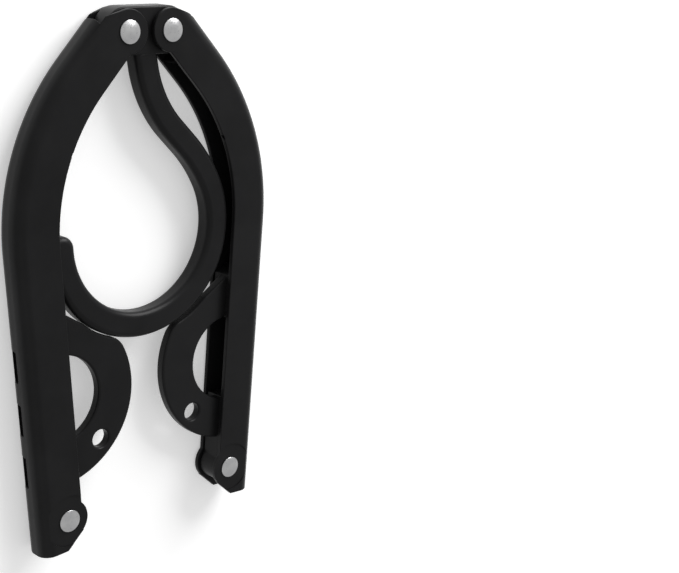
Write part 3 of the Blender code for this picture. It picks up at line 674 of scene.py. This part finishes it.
def rivet_metal():
    """Bright pressed metal: pale grey clouded colour, with fine marks in its roughness and height."""
    finish = bpy.data.materials.new("bright_rivet_metal")
    finish.use_nodes = True
    tree = finish.node_tree
    shader = tree.nodes["Principled BSDF"]
    shader.inputs["Metallic"].default_value = 1.0
    place = tree.nodes.new("ShaderNodeTexCoord").outputs["Object"]
    marks = node_of(tree, "ShaderNodeTexNoise", Scale=900.0, Detail=5.0, Roughness=0.65)
    cloud = node_of(tree, "ShaderNodeTexNoise", Scale=260.0, Detail=3.0, Roughness=0.5)
    for noise in (marks, cloud):
        tree.links.new(place, noise.inputs["Vector"])
    tint = tree.nodes.new("ShaderNodeMix")
    tint.data_type = "RGBA"
    tint.inputs["A"].default_value = METAL_DARK
    tint.inputs["B"].default_value = METAL_LIGHT
    tree.links.new(span(tree, cloud.outputs["Fac"], 0.35, 0.65, 0.0, 1.0), tint.inputs["Factor"])
    tree.links.new(tint.outputs["Result"], shader.inputs["Base Color"])
    tree.links.new(span(tree, marks.outputs["Fac"], 0.3, 0.7, 0.26, 0.36), shader.inputs["Roughness"])
    relief = node_of(tree, "ShaderNodeBump", Strength=0.10, Distance=0.00005)
    tree.links.new(marks.outputs["Fac"], relief.inputs["Height"])
    tree.links.new(relief.outputs["Normal"], shader.inputs["Normal"])
    return finish


def dress_hanger():
    """Makes every moulding and rivet and puts each in place of its frame nodes."""
    plastic, metal = black_plastic(), rivet_metal()
    piece("hook_moulding", hook_mesh(), plastic, "hook", "hook")
    arm, extension = arm_mesh(), extension_mesh()
    ribs = [rib_mesh(row) for row in (-1, 1)]
    for hand in ("left", "right"):
        turn = (lambda data: data) if hand == "left" else mirrored
        piece(hand + "_arm_channel", turn(arm), plastic, hand + "_arm", hand + "_arm")
        for i, rib in enumerate(ribs):
            piece(f"{hand}_arm_rib_{i + 1}", turn(rib), plastic, hand + "_arm", hand + "_arm")
        piece(hand + "_extension_moulding", turn(extension), plastic, hand + "_extension",
              hand + "_extension")
        for place, centre, front, body in (("top", TOP_RIVET, FRONT_LEVEL, "hook"),
                                           ("tip", TIP_RIVET, FRONT_LEVEL - SPOT_DEPTH, hand + "_arm")):
            post, cap = rivet_meshes(centre, front)
            spot = place + "_" + hand
            piece("rivet_head_" + spot, turn(post), metal, body, "rivet_" + spot, slot="rivet_metal")
            piece("rivet_back_" + spot, turn(cap), metal, body, "rivet_cap_" + spot, slot="rivet_metal")


def area_lamp(name, place, size, power):
    """A square soft lamp at a place, facing the middle of the table."""
    data = bpy.data.lights.new(name, "AREA")
    data.energy, data.size = power, size
    lamp = bpy.data.objects.new(name, data)
    bpy.context.scene.collection.objects.link(lamp)
    lamp.location = place
    lamp.rotation_euler = (-Vector(place)).to_track_quat("-Z", "Y").to_euler()


def background_rays(tree):
    """1 for the rays that show the background, seen straight, mirrored or through something clear."""
    ways = tree.nodes.new("ShaderNodeLightPath")
    total = ways.outputs["Is Camera Ray"]
    for kind in ("Is Glossy Ray", "Is Transmission Ray"):
        both = tree.nodes.new("ShaderNodeMath")
        both.operation = "MAXIMUM"
        tree.links.new(total, both.inputs[0])
        tree.links.new(ways.outputs[kind], both.inputs[1])
        total = both.outputs["Value"]
    return total


def light_studio():
    """A pale table that shows white to the rays of the background, an even grey room and three lamps."""
    world = bpy.data.worlds.new("studio")
    world.use_nodes = True
    bpy.context.scene.world = world
    tree = world.node_tree
    ground = tree.nodes["Background"]
    ground.inputs["Color"].default_value = WHITE
    ground.inputs["Strength"].default_value = ROOM_LIGHT

    half = TABLE_REACH
    corners = [(-half, -half, 0), (half, -half, 0), (half, half, 0), (-half, half, 0)]
    data = bpy.data.meshes.new("table")
    data.from_pydata(corners, [], [(0, 1, 2, 3)])
    table = bpy.data.objects.new("table", data)
    bpy.context.scene.collection.objects.link(table)
    finish = bpy.data.materials.new("white_table")
    finish.use_nodes = True
    tree = finish.node_tree
    shader = tree.nodes["Principled BSDF"]
    shader.inputs["Base Color"].default_value = TABLE_COLOUR
    shader.inputs["Roughness"].default_value = 0.9
    shader.inputs["Emission Color"].default_value = WHITE
    lift = tree.nodes.new("ShaderNodeMath")
    lift.operation = "MULTIPLY"
    lift.inputs[1].default_value = TABLE_LIFT
    tree.links.new(background_rays(tree), lift.inputs[0])
    tree.links.new(lift.outputs["Value"], shader.inputs["Emission Strength"])
    data.materials.append(finish)

    area_lamp("window", (0.62, 0.84, 0.46), 0.8, WINDOW_POWER)
    area_lamp("side", (1.05, -0.12, 0.24), 0.4, SIDE_POWER)
    area_lamp("soft", (-0.9, -0.9, 1.0), 1.2, SOFT_POWER)


def aim_camera():
    """The photograph's viewing angle: place, and right, up and backward directions."""
    data = bpy.data.cameras.new("camera")
    data.sensor_width = SENSOR_WIDTH
    data.sensor_fit = "HORIZONTAL"
    data.lens = CAMERA_FOCAL * data.sensor_width
    data.clip_start, data.clip_end = 0.01, 20.0
    camera = bpy.data.objects.new("camera", data)
    bpy.context.scene.collection.objects.link(camera)
    right, up = Vector(CAMERA_RIGHT).normalized(), Vector(CAMERA_UP)
    up = (up - up.dot(right) * right).normalized()
    turn = Matrix((right, up, right.cross(up))).transposed()
    place = Vector(CAMERA_FROM_HINGE) + Vector((0, PLAN_SHIFT, FRONT_LEVEL))
    camera.matrix_world = Matrix.Translation(place) @ turn.to_4x4()
    bpy.context.scene.camera = camera


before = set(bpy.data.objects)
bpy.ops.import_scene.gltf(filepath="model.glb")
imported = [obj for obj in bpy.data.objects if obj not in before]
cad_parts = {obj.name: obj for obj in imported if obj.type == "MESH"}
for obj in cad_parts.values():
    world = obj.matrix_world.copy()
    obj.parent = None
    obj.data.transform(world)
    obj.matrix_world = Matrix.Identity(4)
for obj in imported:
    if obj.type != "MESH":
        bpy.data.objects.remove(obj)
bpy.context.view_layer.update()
aim_camera()
dress_hanger()
light_studio()
bpy.context.scene.view_settings.view_transform = "Standard"
